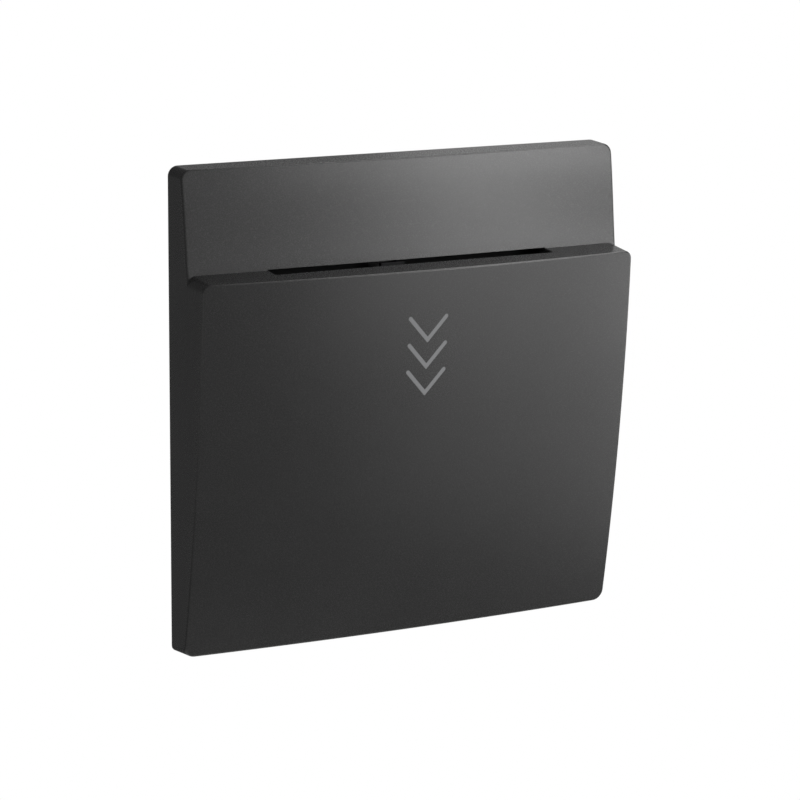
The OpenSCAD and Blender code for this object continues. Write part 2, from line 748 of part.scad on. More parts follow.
module terminal_clamps() {
    color("#c9a24a") placed() for (i = [0:pole_count - 1]) translate([pole_x(i), 0, 0]) difference() {
        component([0, clamp_y], clamp_size, clamp_z);
        translate([0, wire_y, clamp_z - over]) cylinder(d = wire_bore_d, h = clamp_size[2] + 2 * over);
        translate([0, clamp_y - clamp_size[1], clamp_screw_z]) rotate([-90, 0, 0])
            cylinder(d = clamp_screw_d + 2 * fit, h = wire_y - clamp_y + clamp_size[1]);
    }
}

module terminal_screws() {
    color("#b9bdc1") placed() for (i = [0:pole_count - 1])
        translate([pole_x(i), clamp_screw_low, clamp_screw_z]) rotate([-90, 0, 0]) difference() {
            cylinder(d = clamp_screw_d, h = clamp_screw_top - clamp_screw_low);
            slab(-clamp_screw_d, clamp_screw_d, -slot_cut / 2, slot_cut / 2, -over, over);
        }
}

front_cover();
chevron_lens();
support_frame();
cover_grommets();
card_guide();
assembly_screws();
rear_housing();
card_lever();
lever_pin();
lever_spring();
microswitch_body();
switch_plunger();
circuit_board();
board_screws();
component_leads();
relay();
film_capacitor();
electrolytic_capacitor();
controller_chip();
indicator_led();
light_pipe();
terminal_block();
terminal_clamps();
terminal_screws();
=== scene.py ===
# Hotel key card switch: the moulded cover, its inlaid chevrons and the lever's coil spring are built here,
# and every other part keeps its solid and gets a material of its own.
import json
import math

import bmesh
import bpy
from mathutils import Matrix, Vector
from mathutils.geometry import delaunay_2d_cdt


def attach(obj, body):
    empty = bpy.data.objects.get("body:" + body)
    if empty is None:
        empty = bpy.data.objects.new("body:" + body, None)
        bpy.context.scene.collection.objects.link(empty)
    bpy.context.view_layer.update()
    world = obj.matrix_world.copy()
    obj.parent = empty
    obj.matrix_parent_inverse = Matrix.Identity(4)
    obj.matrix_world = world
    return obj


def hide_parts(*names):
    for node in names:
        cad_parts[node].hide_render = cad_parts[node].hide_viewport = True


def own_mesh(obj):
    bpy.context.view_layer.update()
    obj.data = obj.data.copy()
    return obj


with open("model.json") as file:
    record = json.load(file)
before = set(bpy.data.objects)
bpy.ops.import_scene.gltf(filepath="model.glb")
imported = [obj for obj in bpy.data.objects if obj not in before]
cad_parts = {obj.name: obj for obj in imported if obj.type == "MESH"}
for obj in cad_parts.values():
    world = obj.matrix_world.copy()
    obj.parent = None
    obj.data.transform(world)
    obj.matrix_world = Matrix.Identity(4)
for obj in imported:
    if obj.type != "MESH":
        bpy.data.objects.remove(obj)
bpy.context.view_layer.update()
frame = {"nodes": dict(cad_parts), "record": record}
nodes = frame["nodes"]
slots = {m["slot"]: m["base_color"] for m in frame["record"]["materials"]}

MM = 0.001

# The cover in millimetres: x to the right, h up and d out of the wall, before its sides are drafted
HALF = 43.0
RIM = 0.2
DRAFT = 0.034
SIDE_WALL = 1.8
FRONT_WALL = 2.0

# Its outer skin: radii of the corners, of the ledge's ends and of the edge round the front
CORNER_R = 1.8
CORNER_LOW = 2.0
RIM_CORNER_LOW = 1.1
LEDGE_R = 1.5
EDGE_R = 0.25
EDGE_SUPPORT = 0.15
GRID = 2.5

# Its inner skin, in the same order
INNER_CORNER_R = 0.9
INNER_CORNER_LOW = 0.8
INNER_LEDGE_R = 1.0
INNER_EDGE_R = 0.25
INNER_SUPPORT = 0.15
INNER_GRID = 5

# Steps along both skins
EDGE_STEPS = 4
CORNER_STEPS = 8
ACROSS_STEPS = 32
LOW_SIDE_STEPS = 24
HIGH_SIDE_STEPS = 12
LEDGE_END_STEPS = 5

# The panel's support lines leave out points that are nearer to the ledge's ends than this
LINE_CLEAR = 0.3

# Heights of the ledge's two lines, and depths of the upper panel and of the lower face
LEDGE_FRONT = 24.53
LEDGE_FOOT = 25.08
SLOT_DEPTH = 7.25
SLOT_CROWN = 0.7
TOP_DEPTH = 4.95
TOP_CROWN = 1.48
PANEL_BULGE = 0.16
FACE_TOP = 13.3
FACE_LOW = 5.1
FACE_BULGE = 1.262
CROWN_LOW = 1.42
CROWN_TOP = 2.13

# Factors that bring the curves of the two bulges to a height of 1
PANEL_CURVE = 27 / 4
FACE_CURVE = 4


def drafted(x, h, d):
    """A cover point along the world's axes, in millimetres. All sides but the lower one are drafted."""
    k = 1 - DRAFT * d / HALF
    return Vector((x * k, -d, h * k if h > 0 else h))


def panel_depth(x, h):
    """Depth of the upper panel, crowned across and slightly bulged towards its upper edge."""
    middle = 1 - (x / HALF) ** 2
    u = (h - LEDGE_FOOT) / (HALF - LEDGE_FOOT)
    low = SLOT_DEPTH + SLOT_CROWN * middle
    high = TOP_DEPTH + TOP_CROWN * middle
    return low + (high - low) * u + PANEL_CURVE * PANEL_BULGE * u ** 2 * (1 - u)


def face_depth(x, h):
    """Depth of the lower face, crowned across and bulged between its lower edge and the ledge."""
    u = (h + HALF) / (LEDGE_FRONT + HALF)
    side = FACE_LOW + (FACE_TOP - FACE_LOW) * u + FACE_CURVE * FACE_BULGE * u * (1 - u)
    return side + (CROWN_LOW + (CROWN_TOP - CROWN_LOW) * u) * (1 - (x / HALF) ** 2)


def span(a, b, count):
    """Angles from a to b degrees in equal steps, in radians."""
    return [math.radians(a + (b - a) * i / count) for i in range(count + 1)]


def all_round(count):
    """Angles once round, without the last one."""
    return span(0, 360, count)[:-1]


def straight(p, q, normal, count):
    """Points from p to q with their outward normal."""
    return [(p[0] + (q[0] - p[0]) * i / count, p[1] + (q[1] - p[1]) * i / count, *normal)
            for i in range(count + 1)]


def bend(centre, r, angles):
    """Points on an arc with their outward normal."""
    return [(centre[0] + r * math.cos(a), centre[1] + r * math.sin(a), math.cos(a), math.sin(a))
            for a in angles]


def arc(centre, r, angles):
    """Points on an arc."""
    return [p[:2] for p in bend(centre, r, angles)]


def chain(*runs):
    """Joins runs of points whose ends meet."""
    points = list(runs[0])
    for run in runs[1:]:
        points.extend(run[1:])
    return points


# Flat outlines: the digits to which equal points agree, the triangles' tolerance, and the kind of result,
# which keeps inside the loop
FLAT_DIGITS = 6
FLAT_LIMIT = 1e-7
INSIDE_ONLY = 1


def flat_key(p):
    return round(p[0], FLAT_DIGITS), round(p[1], FLAT_DIGITS)


def triangles(loop, lines, inner):
    """Triangles inside a loop of (x, h) points that keep to the given lines and use the inner points."""
    points = [Vector(p) for p in loop]
    edges = [(i, (i + 1) % len(loop)) for i in range(len(loop))]
    index = {flat_key(p): i for i, p in enumerate(loop)}
    for line in lines:
        last = None
        for p in line:
            key = flat_key(p)
            if key not in index:
                index[key] = len(points)
                points.append(Vector(p))
            if last is not None and last != index[key]:
                edges.append((last, index[key]))
            last = index[key]
    points.extend(Vector(p) for p in inner)
    corners, _, faces = delaunay_2d_cdt(points, edges, [], INSIDE_ONLY, FLAT_LIMIT)[:3]
    return [[(corners[i].x, corners[i].y) for i in face] for face in faces]


# Corners that agree to so many digits are shared, and those closer than the seam are welded
CORNER_DIGITS = 5
SEAM = 0.001


class Mesh:
    """Collects faces given by their corner points, and shares the corners that coincide."""

    def __init__(self):
        self.points = []
        self.faces = []
        self.index = {}

    def corner(self, p):
        key = tuple(round(c, CORNER_DIGITS) for c in p)
        if key not in self.index:
            self.index[key] = len(self.points)
            self.points.append(p)
        return self.index[key]

    def face(self, *corners):
        loop = []
        for p in corners:
            i = self.corner(p)
            if i not in loop:
                loop.append(i)
        if len(loop) > 2:
            self.faces.append(loop)

    def strip(self, a, b, closed=False):
        """Quads between two rows of points."""
        count = len(a) if closed else len(a) - 1
        for i in range(count):
            j = (i + 1) % len(a)
            self.face(a[i], a[j], b[j], b[i])

    def object(self, name):
        """Makes the object, with its seams welded and its faces turned outward."""
        data = bpy.data.meshes.new(name)
        data.from_pydata(self.points, [], self.faces)
        bm = bmesh.new()
        bm.from_mesh(data)
        bmesh.ops.remove_doubles(bm, verts=bm.verts, dist=SEAM)
        bmesh.ops.recalc_face_normals(bm, faces=bm.faces)
        bm.to_mesh(data)
        bm.free()
        made = bpy.data.objects.new(name, data)
        bpy.context.scene.collection.objects.link(made)
        return made


def skin(mesh, side, front, corner_r, low_r, rim_low_r, ledge_r, edge_r, support, grid):
    """One skin of the cover, set in by its walls. Returns the loop of its rim."""
    half = HALF - side
    ledge = LEDGE_FRONT - front
    rise = LEDGE_FOOT - LEDGE_FRONT
    pinch = ledge - ledge_r

    def panel(x, h):
        q = [max(abs(c) - half + corner_r, 0) for c in (x, h)]
        inside = corner_r - math.hypot(*q) if max(q) > 0 else half - max(abs(x), abs(h))
        inside = min(max(inside, 0), edge_r)
        drop = edge_r - math.sqrt(edge_r ** 2 - (edge_r - inside) ** 2)
        return panel_depth(x, h) - front - drop

    def face(x, h):
        return face_depth(x, h + front) - front

    rounds = span(0, 90, EDGE_STEPS)
    insets = [edge_r * (1 - math.cos(a)) for a in rounds] + [edge_r + support]
    drops = [edge_r * (1 - math.sin(a)) for a in rounds] + [0]
    turns = [math.acos(1 - i / ledge_r) for i in insets]
    rest = math.pi / 2 - turns[-1]
    turns += [turns[-1] + rest * i / LEDGE_END_STEPS for i in range(1, LEDGE_END_STEPS + 1)]

    inner = half - corner_r
    ledge_in = half - ledge_r

    def low_path(r):
        low = half - r
        return chain(
            straight((half, pinch), (half, -low), (1, 0), LOW_SIDE_STEPS),
            bend((low, -low), r, span(0, -90, CORNER_STEPS)),
            straight((low, -half), (-low, -half), (0, -1), ACROSS_STEPS),
            bend((-low, -low), r, span(-90, -180, CORNER_STEPS)),
            straight((-half, -low), (-half, pinch), (-1, 0), LOW_SIDE_STEPS))

    lower = low_path(low_r)
    upper = chain(
        straight((-half, pinch), (-half, inner), (-1, 0), HIGH_SIDE_STEPS),
        bend((-inner, inner), corner_r, span(180, 90, CORNER_STEPS)),
        straight((-inner, half), (inner, half), (0, 1), ACROSS_STEPS),
        bend((inner, inner), corner_r, span(90, 0, CORNER_STEPS)),
        straight((half, inner), (half, pinch), (1, 0), HIGH_SIDE_STEPS))
    brow = chain(
        bend((-ledge_in, pinch), ledge_r, [math.pi - t for t in turns]),
        straight((-ledge_in, ledge), (ledge_in, ledge), (0, 1), ACROSS_STEPS),
        bend((ledge_in, pinch), ledge_r, turns[::-1]))

    # Lower face, with a rounded edge all round
    loop = lower + brow[1:-1]
    rings = []
    for inset, drop in zip(insets, drops):
        ring = []
        for i, (x, h, nx, nh) in enumerate(loop):
            d = face(x - nx * inset, h - nh * inset)
            lift = rise * nh ** 2 * drop / (d - panel(x, ledge)) if i >= len(lower) else 0
            ring.append((x - nx * inset, h - nh * inset + lift, d - drop))
        rings.append(ring)
    for a, b in zip(rings, rings[1:]):
        mesh.strip([drafted(*p) for p in a], [drafted(*p) for p in b], True)
    last = [p[:2] for p in rings[-1]]
    count = int(half / grid)
    margin = edge_r + support + grid / 2
    cells = [(i * grid, j * grid) for i in range(-count, count + 1) for j in range(-count, count + 1)]
    cells = [p for p in cells if abs(p[0]) < half - margin]
    inside = [p for p in cells if margin - half < p[1] < ledge - margin]
    for tri in triangles(last, [], inside):
        mesh.face(*[drafted(x, h, face(x, h)) for x, h in tri])

    # Upper panel, which runs down beside the rounded ends of the ledge
    foot = [(x, h + rise * nh ** 2) for x, h, nx, nh in brow]
    top = [p[:2] for p in upper]
    lines = []
    for k, inset in enumerate(insets[1:], 1):
        a, b = foot[k], foot[-1 - k]
        run = [(x - nx * inset, h - nh * inset) for x, h, nx, nh in upper]
        lines.append([a] + [p for p in run if p[1] > a[1] + LINE_CLEAR] + [b])
    inside = [p for p in cells if ledge + rise + grid / 2 < p[1] < half - margin]
    for tri in triangles(top[:-1] + foot[:0:-1], lines, inside):
        mesh.face(*[drafted(x, h, panel(x, h)) for x, h in tri])

    # Ledge between the two, and the four sides down to the rim
    start = len(lower) - 1
    wall = [rings[0][i % len(loop)] for i in range(start, start + len(brow))]
    mesh.strip([drafted(*p) for p in wall], [drafted(x, h, panel(x, h)) for x, h in foot])
    rim = [drafted(p[0], p[1], RIM) for p in low_path(rim_low_r) + upper[1:-1]]
    low_top = [drafted(*p) for p in rings[0][:len(lower)]]
    for i in range(len(lower) - 1):
        corners = [rim[i], low_top[i], low_top[i + 1], rim[i + 1]]
        if i == 0:
            corners.insert(1, drafted(half, pinch, panel(half, pinch)))
        if i == len(lower) - 2:
            corners.insert(3, drafted(-half, pinch, panel(-half, pinch)))
        mesh.face(*corners)
    high_rim = rim[start:] + [rim[0]]
    mesh.strip(high_rim, [drafted(x, h, panel(x, h)) for x, h in top])
    return rim


def prism(name, loops):
    """A closed solid through loops of points, each with the same number of corners."""
    mesh = Mesh()
    for a, b in zip(loops, loops[1:]):
        mesh.strip(a, b, True)
    mesh.face(*loops[0])
    mesh.face(*loops[-1])
    return mesh.object(name)


def combine(base, tools, operation):
    """Cuts or joins closed solids, one after another."""
    for tool in tools:
        change = base.modifiers.new("combine", "BOOLEAN")
        change.operation = operation
        change.solver = "EXACT"
        change.object = tool
        graph = bpy.context.evaluated_depsgraph_get()
        made = bpy.data.meshes.new_from_object(base.evaluated_get(graph))
        base.modifiers.clear()
        base.data = made
        bpy.data.objects.remove(tool)
    return base


# Chevron marks on the lower face
CHEVRON_TIPS = (11.69, 6.87, 2.04)
CHEVRON_HALF = 3.57
CHEVRON_RISE = 4.03
STROKE = 0.78
STROKE_GAP = 0.02
STROKE_SET = 0.03
STROKE_CUT = 1
TIP_R = 0.16
TIP_STEPS = 3
END_STEPS = 10

# Rounds of the search for the face point that the draft brings to a given place
UNDRAFT_ROUNDS = 4


def chevron(stroke, tip):
    """Outline of a chevron with round stroke ends and a softened tip."""
    r = stroke / 2
    arm = math.hypot(CHEVRON_HALF, CHEVRON_RISE)
    slope = math.atan2(CHEVRON_RISE, CHEVRON_HALF)
    mitre = r * arm / CHEVRON_HALF
    tip_centre = -mitre + TIP_R * arm / CHEVRON_HALF
    tip_angles = [-math.pi / 2 + slope * i / TIP_STEPS for i in range(1, TIP_STEPS + 1)]
    end_angles = [slope + a for a in span(-90, 90, END_STEPS)]
    right = arc((0, tip_centre), TIP_R, tip_angles) + arc((CHEVRON_HALF, CHEVRON_RISE), r, end_angles)
    points = [(0, tip_centre - TIP_R)] + right + [(0, mitre)] + [(-x, h) for x, h in right[::-1]]
    return [(x, tip + h) for x, h in points]


def face_point(x, h, sink):
    """A point of the drafted lower face, or below it, found from where it is to stand."""
    u, v = x, h
    for _ in range(UNDRAFT_ROUNDS):
        k = 1 - DRAFT * face_depth(u, v) / HALF
        u = x / k
        v = h / k if h > 0 else h
    return Vector((x, -(face_depth(u, v) - sink), h))


def face_loops(outline, sinks):
    """An outline laid on the lower face, once for each depth below it."""
    return [[face_point(x, h, sink) for x, h in outline] for sink in sinks]


# Pegs near the four corners, and the depth at which their draft is taken
PEG = 35.5
PEG_R = 1.5
PEG_START = 0.4
PEG_LEAD = 0.3
PEG_TIP = 0.8
PEG_SIDES = 32
PEG_DEPTH = 6

# Ribs behind the lower face
RIB_X = (-20, -9.5, 9.5, 20)
RIB_HALF = 0.7
RIB_LOW = -10
RIB_BACK = 10.1
RIB_STEPS = 12

# The ledge's slope, the card slot in it and the room behind the slot
LEDGE_BACK_H = 24.94
LEDGE_FRONT_H = 24.27
LEDGE_FRONT_D = 13.2
SLOT_HALF = 27.5
SLOT_FRONT = 10.5
SLOT_BACK = 7.27
SLOT_CORNER = 0.35
SLOT_ROUND = 0.2
SLOT_TOP = 0.19
SLOT_FLOOR = -3.2
SLOT_STEPS = 4
VOID_BACK = 4.2
VOID_FRONT = 7.8
VOID_LOW = 22.0
PANEL_EDGE = 25.04


def peg(x, h):
    """A round peg with a tapered end, which stands in the cover's front wall and points back."""
    k = 1 - DRAFT * PEG_DEPTH / HALF
    end = (panel_depth if h > LEDGE_FOOT else face_depth)(x / k, h / k) - FRONT_WALL / 2
    loop = arc((x, h), PEG_R, all_round(PEG_SIDES))
    tip = [(x + (p - x) * PEG_TIP, h + (q - h) * PEG_TIP) for p, q in loop]
    return prism("peg", [[Vector((p, -PEG_START, q)) for p, q in tip],
                         [Vector((p, -PEG_START - PEG_LEAD, q)) for p, q in loop],
                         [Vector((p, -end, q)) for p, q in loop]])


def rib(x):
    """An upright rib behind the lower face."""
    high = LEDGE_FRONT_H - FRONT_WALL / 2
    heights = [RIB_LOW + (high - RIB_LOW) * i / RIB_STEPS for i in range(RIB_STEPS + 1)]
    sides = []
    for side in (x - RIB_HALF, x + RIB_HALF):
        front = [face_point(side, h, FRONT_WALL / 2) for h in heights]
        back = [Vector((side, -RIB_BACK, p.z)) for p in front[::-1]]
        sides.append(front + back)
    return prism("rib", sides)


def slot_cutter():
    """The card slot in the sloping ledge, with a rounded mouth."""
    loops = []
    levels = [(0, SLOT_FLOOR), (0, -SLOT_ROUND)]
    levels += [(SLOT_ROUND * (1 - math.cos(a)), SLOT_ROUND * (math.sin(a) - 1))
               for a in span(0, 90, SLOT_STEPS)[1:]]
    levels.append((SLOT_ROUND, SLOT_TOP))
    slope = (LEDGE_FRONT_H - LEDGE_BACK_H) / (LEDGE_FRONT_D - SLOT_DEPTH)
    for out, up in levels:
        half, front, r = SLOT_HALF + out, SLOT_FRONT + out, SLOT_CORNER + out
        loop = [(-half, SLOT_BACK)]
        loop += arc((-half + r, front - r), r, span(180, 90, SLOT_STEPS))
        loop += arc((half - r, front - r), r, span(90, 0, SLOT_STEPS))
        loop.append((half, SLOT_BACK))
        loops.append([Vector((x, -d, LEDGE_BACK_H + slope * (d - SLOT_DEPTH) + up)) for x, d in loop])
    return prism("slot", loops)


def void_cutter():
    """The room behind the slot, below the upper panel's free edge."""
    outline = [(VOID_BACK, VOID_LOW), (VOID_BACK, PANEL_EDGE),
               (VOID_FRONT, PANEL_EDGE), (VOID_FRONT, VOID_LOW)]
    return prism("void", [[Vector((x, -d, h)) for d, h in outline] for x in (-SLOT_HALF, SLOT_HALF)])


def chevron_cutter(tip):
    """The opening for one chevron, right through the front wall."""
    return prism("cut", face_loops(chevron(STROKE, tip), (FRONT_WALL + STROKE_CUT, -STROKE_CUT)))


def build_cover():
    """Two skins joined at the rim, then pegs, ribs, the card slot and the chevron cuts."""
    mesh = Mesh()
    outer = skin(mesh, 0, 0, CORNER_R, CORNER_LOW, RIM_CORNER_LOW, LEDGE_R, EDGE_R, EDGE_SUPPORT, GRID)
    inner = skin(mesh, SIDE_WALL, FRONT_WALL, INNER_CORNER_R, INNER_CORNER_LOW, INNER_CORNER_LOW,
                 INNER_LEDGE_R, INNER_EDGE_R, INNER_SUPPORT, INNER_GRID)
    mesh.strip(outer, inner, True)
    shell = mesh.object("cover_shell")
    pegs = [peg(x, h) for x in (-PEG, PEG) for h in (-PEG, PEG)]
    combine(shell, pegs + [rib(x) for x in RIB_X], "UNION")
    cuts = [slot_cutter(), void_cutter()] + [chevron_cutter(tip) for tip in CHEVRON_TIPS]
    return combine(shell, cuts, "DIFFERENCE")


# Inlay behind the lower face
LENS_HALF = 5.0
LENS_LOW = 0.0
LENS_HIGH = 17.2
LENS_T = 1.0
LENS_GAP = 0.1
LENS_CORNER = 0.6
LENS_STEPS = 4
LENS_GRID = 1.6
LENS_GRID_LOW = 1.2
LENS_COLUMNS = range(-2, 3)
LENS_ROWS = range(10)


def build_lens():
    """A plate that follows the lower face from behind, with a stroke in each chevron opening."""
    mid = (LENS_LOW + LENS_HIGH) / 2
    tall = (LENS_HIGH - LENS_LOW) / 2
    outline = []
    for sx, sh, a in ((1, 1, 0), (-1, 1, 90), (-1, -1, 180), (1, -1, 270)):
        centre = (sx * (LENS_HALF - LENS_CORNER), mid + sh * (tall - LENS_CORNER))
        outline += arc(centre, LENS_CORNER, span(a, a + 90, LENS_STEPS))
    front = FRONT_WALL + LENS_GAP
    sinks = (front + LENS_T, front)
    grid = [(LENS_GRID * i, LENS_GRID_LOW + LENS_GRID * j) for i in LENS_COLUMNS for j in LENS_ROWS]
    plate = triangles(outline, [], grid)
    mesh = Mesh()
    for sink in sinks:
        for tri in plate:
            mesh.face(*[face_point(x, h, sink) for x, h in tri])
    mesh.strip(*face_loops(outline, sinks), True)
    inlay = mesh.object("chevron_inlay")
    strokes = []
    for tip in CHEVRON_TIPS:
        shape = chevron(STROKE - 2 * STROKE_GAP, tip)
        strokes.append(prism("stroke", face_loops(shape, (front + LENS_T / 2, STROKE_SET))))
    return combine(inlay, strokes, "UNION")


# Coil spring under the lever's tail, wound round an upright axis
SPRING_AT = (-3.2, 4.2)
SPRING_LOW = -13.45
SPRING_HIGH = -7.75
SPRING_R = 1.95
WIRE_R = 0.25
SPRING_TURNS = 5.5
CLOSED_TURNS = 0.9
CLOSED_PITCH = 0.56
TURN_STEPS = 40
WIRE_SIDES = 12

# Steps of a turn over which the pitch is averaged, so that it changes softly
SOFTEN_STEP = 0.04
SOFTEN_REACH = range(-3, 4)


def build_spring():
    """A round wire with an open pitch between closed ends."""
    steps = int(SPRING_TURNS * TURN_STEPS)
    closed = 2 * CLOSED_TURNS
    open_pitch = (SPRING_HIGH - SPRING_LOW - closed * CLOSED_PITCH) / (SPRING_TURNS - closed)

    def height(t):
        t = min(max(t, 0), SPRING_TURNS)
        low = min(t, CLOSED_TURNS)
        high = max(t - SPRING_TURNS + CLOSED_TURNS, 0)
        return SPRING_LOW + (low + high) * CLOSED_PITCH + (t - low - high) * open_pitch

    line = []
    for i in range(steps + 1):
        t = SPRING_TURNS * i / steps
        a = 2 * math.pi * t
        soft = sum(height(t + k * SOFTEN_STEP) for k in SOFTEN_REACH) / len(SOFTEN_REACH)
        x = SPRING_AT[0] + SPRING_R * math.cos(a)
        y = SPRING_AT[1] + SPRING_R * math.sin(a)
        line.append(Vector((x, y, soft)))
    loops = []
    for i, p in enumerate(line):
        along = (line[min(i + 1, steps)] - line[max(i - 1, 0)]).normalized()
        out = Vector((p.x - SPRING_AT[0], p.y - SPRING_AT[1], 0)).normalized()
        up = along.cross(out)
        loops.append([p + (out * math.cos(a) + up * math.sin(a)) * WIRE_R for a in all_round(WIRE_SIDES)])
    return prism("coil_spring", loops)


# Range in which a noise changes tone or gloss, and the detail of the broad and the fine noise
NOISE_LOW = 0.3
NOISE_HIGH = 0.7
PATCH_DETAIL = 3
GRAIN_DETAIL = 2


def set_inputs(node, values):
    for key, value in values.items():
        node.inputs[key.replace("_", " ")].default_value = value


def add_node(tree, kind, **values):
    node = tree.nodes.new(kind)
    set_inputs(node, values)
    return node


def material(name, colour, rough, metal=0.0, patch=0.06, patch_scale=90.0, grain=5200.0,
             grain_height=0.012, rough_change=0.06, stretch=(1, 1, 1), **sockets):
    """A moulded, cast or plated surface, with soft patches of tone and a fine grain in bump and gloss."""
    made = bpy.data.materials.new(name)
    made.use_nodes = True
    tree = made.node_tree
    link = tree.links.new
    shader = tree.nodes["Principled BSDF"]
    shader.inputs["Metallic"].default_value = metal
    set_inputs(shader, sockets)
    place = tree.nodes.new("ShaderNodeTexCoord")
    scaled = add_node(tree, "ShaderNodeMapping", Scale=stretch)
    link(place.outputs["Object"], scaled.inputs["Vector"])
    broad = add_node(tree, "ShaderNodeTexNoise", Scale=patch_scale, Detail=PATCH_DETAIL)
    link(place.outputs["Object"], broad.inputs["Vector"])
    fine = add_node(tree, "ShaderNodeTexNoise", Scale=grain, Detail=GRAIN_DETAIL)
    link(scaled.outputs["Vector"], fine.inputs["Vector"])

    tone = tree.nodes.new("ShaderNodeValToRGB")
    dark, light = tone.color_ramp.elements
    dark.position = NOISE_LOW
    light.position = NOISE_HIGH
    dark.color = (*[c * (1 - patch) for c in colour[:3]], 1)
    light.color = (*[min(c * (1 + patch), 1) for c in colour[:3]], 1)
    link(broad.outputs["Fac"], tone.inputs["Fac"])
    link(tone.outputs["Color"], shader.inputs["Base Color"])

    gloss = add_node(tree, "ShaderNodeMapRange", From_Min=NOISE_LOW, From_Max=NOISE_HIGH,
                     To_Min=rough - rough_change, To_Max=rough + rough_change)
    link(fine.outputs["Fac"], gloss.inputs["Value"])
    link(gloss.outputs["Result"], shader.inputs["Roughness"])
    bump = add_node(tree, "ShaderNodeBump", Strength=1, Distance=grain_height * MM)
    link(fine.outputs["Fac"], bump.inputs["Height"])
    link(bump.outputs["Normal"], shader.inputs["Normal"])
    return made


LOOKS = {
    "cover_black": dict(rough=0.265, patch=0.05, grain=7000, grain_height=0.003, rough_change=0.04),
    "lens_grey": dict(rough=0.5, patch=0.04, grain=6000, grain_height=0.006),
    "plated_steel": dict(rough=0.32, metal=1, patch=0.1, patch_scale=420, grain=2600, grain_height=0.01,
                         rough_change=0.1, stretch=(1, 1, 9)),
    "frame_black": dict(rough=0.6, patch=0.12, patch_scale=260, grain=1500, grain_height=0.02,
                        Specular_IOR_Level=0.1),
    "grommet_rubber": dict(rough=0.78, patch=0.12, grain=4200, grain_height=0.03,
                           Sheen_Weight=0.15, Sheen_Roughness=0.5),
    "guide_grey": dict(rough=0.5, grain_height=0.014),
    "housing_black": dict(rough=0.5, patch=0.1, grain=4600, grain_height=0.02),
    "lever_black": dict(rough=0.5, Specular_IOR_Level=0.15),
    "switch_blue": dict(rough=0.4, grain=6000, grain_height=0.01),
    "plunger_red": dict(rough=0.38, grain=6000, grain_height=0.006),
    "board_green": dict(rough=0.28, patch=0.25, patch_scale=700, grain=1600, grain_height=0.02),
    "relay_black": dict(rough=0.36),
    "film_red": dict(rough=0.3, patch=0.1, grain=900, grain_height=0.03),
    "can_sleeve": dict(rough=0.3, patch=0.08, grain=2200, grain_height=0.008, stretch=(1, 0.1, 1)),
    "chip_black": dict(rough=0.55, grain=9000, grain_height=0.01),
    "led_white": dict(rough=0.35, patch=0.03, grain=8000, grain_height=0.004),
    "pipe_clear": dict(rough=0.12, patch=0.01, grain=3000, grain_height=0.003, rough_change=0.04,
                       Transmission_Weight=0.9, IOR=1.49),
    "block_white": dict(rough=0.45, patch=0.03),
    "clamp_brass": dict(rough=0.3, metal=1, patch=0.1, patch_scale=500, grain=2400, grain_height=0.01,
                        rough_change=0.1, stretch=(1, 1, 8)),
}
looks = {name: material(name, slots[name], **values) for name, values in LOOKS.items()}

# Edges that turn by more degrees than this stay sharp
MOULDED_SHARP = 32
WIRE_SHARP = 40


def settle(piece, body, slot, sharp):
    """Scales a piece from millimetres to metres, smooths it and gives it its body and the material of its
    slot.
    """
    piece.data.transform(Matrix.Scale(MM, 4))
    piece.data.materials.clear()
    piece.data.materials.append(looks[slot])
    for polygon in piece.data.polygons:
        polygon.use_smooth = True
        polygon.material_index = 0
    piece.data.set_sharp_from_angle(angle=math.radians(sharp))
    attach(piece, body)


def even_normals(part):
    even = part.modifiers.new("even_normals", "WEIGHTED_NORMAL")
    even.keep_sharp = True


cover = build_cover()
settle(cover, "cover", "cover_black", MOULDED_SHARP)
even_normals(cover)
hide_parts("front_cover")

lens = build_lens()
settle(lens, "cover", "lens_grey", MOULDED_SHARP)
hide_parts("chevron_lens")

spring = build_spring()
settle(spring, "chassis", "plated_steel", WIRE_SHARP)
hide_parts("lever_spring")
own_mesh(spring)

# The solids that stay: a material each, and edges softened by so many millimetres
FINISH = {
    "support_frame": ("frame_black", 0.25),
    "cover_grommets": ("grommet_rubber", 0.15),
    "card_guide": ("guide_grey", 0.2),
    "assembly_screws": ("plated_steel", 0.12),
    "rear_housing": ("housing_black", 0.5),
    "card_lever": ("lever_black", 0.25),
    "lever_pin": ("plated_steel", 0.2),
    "microswitch_body": ("switch_blue", 0.25),
    "switch_plunger": ("plunger_red", 0.25),
    "circuit_board": ("board_green", 0.08),
    "board_screws": ("plated_steel", 0.1),
    "component_leads": ("plated_steel", 0.1),
    "relay": ("relay_black", 0.4),
    "film_capacitor": ("film_red", 0.7),
    "electrolytic_capacitor": ("can_sleeve", 0.5),
    "controller_chip": ("chip_black", 0.12),
    "indicator_led": ("led_white", 0.15),
    "light_pipe": ("pipe_clear", 0.15),
    "terminal_block": ("block_white", 0.3),
    "terminal_clamps": ("clamp_brass", 0.2),
    "terminal_screws": ("plated_steel", 0.15),
}
WELD_GAP = 1e-6
EDGE_SEGMENTS = 3
EDGE_ANGLE = 40
for name, (look, width) in FINISH.items():
    part = nodes[name]
    part.data.materials.clear()
    part.data.materials.append(looks[look])
    weld = part.modifiers.new("weld", "WELD")
    weld.merge_threshold = WELD_GAP
    edge = part.modifiers.new("edges", "BEVEL")
    edge.width = width * MM
    edge.segments = EDGE_SEGMENTS
    edge.limit_method = "ANGLE"
    edge.angle_limit = math.radians(EDGE_ANGLE)
    even_normals(part)

